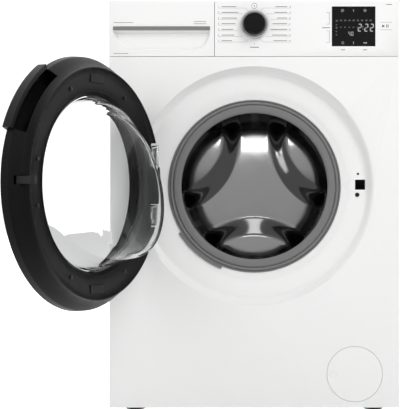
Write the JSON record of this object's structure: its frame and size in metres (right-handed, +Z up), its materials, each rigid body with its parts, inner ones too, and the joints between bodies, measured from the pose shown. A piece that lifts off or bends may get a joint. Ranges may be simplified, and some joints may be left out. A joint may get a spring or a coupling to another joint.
{
  "type": "front load washing machine",
  "caption": "Freestanding front load washing machine with its round black door open, a grey door seal, a programme dial, a detergent drawer and a pump service flap.",
  "frame": {"origin": "on the floor, under the middle of the cabinet's footprint, midway between the four feet", "axes": "+X to the right of a person facing the front, +Y to the back, +Z up"},
  "size_m": [0.7261, 0.9948, 0.85],
  "materials": {
    "white_steel": "satin white enamel",
    "white_laminate": "laminated board",
    "white_plastic": "satin white moulding",
    "tub_plastic": "filled polypropylene",
    "black_gloss": "gloss black",
    "black_matte": "matt black",
    "black_glass": "black panel glass",
    "clear_glass": "clear moulded glass",
    "grey_rubber": "grey EPDM",
    "dark_rubber": "black rubber",
    "stainless": "polished stainless",
    "zinc_steel": "zinc plated",
    "chrome": "bright",
    "silver_ring": "satin",
    "cast_alloy": "as cast",
    "concrete": "cast ballast",
    "grey_plastic": "moulded grey",
    "blue_plastic": "siphon blue"
  },
  "bodies": {
    "cabinet": {"cabinet_wrap": "white_steel", "front_panel": "white_steel", "worktop": "white_laminate", "rear_panel": "zinc_steel", "transit_caps": "grey_plastic", "base_frame": "zinc_steel", "control_fascia": "white_plastic", "display_glass": "black_glass", "control_module": "grey_plastic", "main_control_box": "white_plastic", "dispenser_housing": "tub_plastic", "dispenser_hose": "dark_rubber", "inlet_valve": "white_plastic", "power_gland": "black_matte", "drain_spigot": "grey_plastic", "drain_hose": "grey_plastic", "filter_bay": "white_plastic", "drain_pump": "grey_plastic", "damper_tubes": "zinc_steel", "suspension_springs": "zinc_steel", "sump_hose": "dark_rubber", "door_gasket": "grey_rubber", "door_lock": "black_matte", "hinge_bracket": "chrome"},
    "foot_fl": {"foot_front_left": "dark_rubber"},
    "foot_fr": {"foot_front_right": "dark_rubber"},
    "foot_rl": {"foot_rear_left": "dark_rubber"},
    "foot_rr": {"foot_rear_right": "dark_rubber"},
    "dial": {"dial_ring": "silver_ring", "dial_cap": "black_gloss"},
    "drawer": {"drawer_front": "white_plastic", "drawer_tray": "white_plastic"},
    "siphon": {"siphon_insert": "blue_plastic"},
    "flap": {"filter_flap": "white_plastic"},
    "pump_filter": {"filter_cap": "grey_plastic"},
    "impeller": {"pump_impeller": "white_plastic"},
    "tub": {"tub_front": "tub_plastic", "tub_rear": "tub_plastic", "bearings": "chrome", "weight_front": "concrete", "weight_top": "concrete", "heater": "stainless", "motor": "zinc_steel", "drive_belt": "dark_rubber", "damper_rods": "chrome"},
    "drum": {"drum_shell": "stainless", "drum_front": "stainless", "drum_back": "stainless", "drum_lifters": "grey_plastic", "drum_spider": "cast_alloy", "drum_pulley": "cast_alloy"},
    "rotor": {"motor_pulley": "zinc_steel"},
    "door": {"door_trim": "black_gloss", "door_handle": "black_gloss", "door_frame": "black_gloss", "glass_bowl": "clear_glass", "hinge_arms": "chrome", "hinge_pins": "chrome", "door_screws": "zinc_steel"},
    "hook": {"latch_hook": "black_matte"}
  },
  "joints": [
    {"name": "door_hinge", "type": "hinge", "parent": "cabinet", "child": "door", "pos_m": [-0.2157, -0.2836, 0.467], "axis": [0, 0, 1], "range_deg": [-4.8, 115.2]},
    {"name": "latch_pivot", "type": "hinge", "parent": "door", "child": "hook", "pos_m": [-0.39524, -0.68064, 0.47], "axis": [0, 0, 1], "range_deg": [0, 6], "stiffness_Nm_per_rad": 0.6},
    {"name": "tub_bounce", "type": "slide", "parent": "cabinet", "child": "tub", "axis": [0, 0, 1], "range_m": [-0.008, 0.008], "stiffness_N_per_m": 12000, "springref_m": 0.0304, "deforming": ["suspension_springs", "door_gasket", "sump_hose", "dispenser_hose"]},
    {"name": "drum_spin", "type": "hinge", "parent": "tub", "child": "drum", "pos_m": [0, 0, 0.467], "axis": [0, 1, 0], "continuous": true},
    {"name": "motor_spin", "type": "hinge", "parent": "tub", "child": "rotor", "pos_m": [0.095, 0, 0.161], "axis": [0, 1, 0], "continuous": true},
    {"name": "dial_turn", "type": "hinge", "parent": "cabinet", "child": "dial", "pos_m": [0, -0.285, 0.8], "axis": [0, -1, 0], "continuous": true},
    {"name": "drawer_slide", "type": "slide", "parent": "cabinet", "child": "drawer", "axis": [0, -1, 0], "range_m": [0, 0.2]},
    {"name": "siphon_lift", "type": "slide", "parent": "drawer", "child": "siphon", "axis": [0, 0, 1], "range_m": [0, 0.02]},
    {"name": "flap_hinge", "type": "hinge", "parent": "cabinet", "child": "flap", "pos_m": [0.2608, -0.275, 0.079], "axis": [0, 0, 1], "range_deg": [0, 90]},
    {"name": "filter_cap_turn", "type": "hinge", "parent": "cabinet", "child": "pump_filter", "pos_m": [0.207, -0.262, 0.079], "axis": [0, -1, 0], "range_deg": [-90, 0]},
    {"name": "impeller_spin", "type": "hinge", "parent": "cabinet", "child": "impeller", "pos_m": [0.207, -0.155, 0.079], "axis": [0, 1, 0], "continuous": true},
    {"name": "level_fl", "type": "slide", "parent": "cabinet", "child": "foot_fl", "axis": [0, 0, -1], "range_m": [0, 0.012]},
    {"name": "level_fr", "type": "slide", "parent": "cabinet", "child": "foot_fr", "axis": [0, 0, -1], "range_m": [0, 0.012]},
    {"name": "level_rl", "type": "slide", "parent": "cabinet", "child": "foot_rl", "axis": [0, 0, -1], "range_m": [0, 0.012]},
    {"name": "level_rr", "type": "slide", "parent": "cabinet", "child": "foot_rr", "axis": [0, 0, -1], "range_m": [0, 0.012]}
  ],
  "couplings": [
    {"joint": "motor_spin", "follows": "drum_spin", "ratio": 11.667}
  ]
}
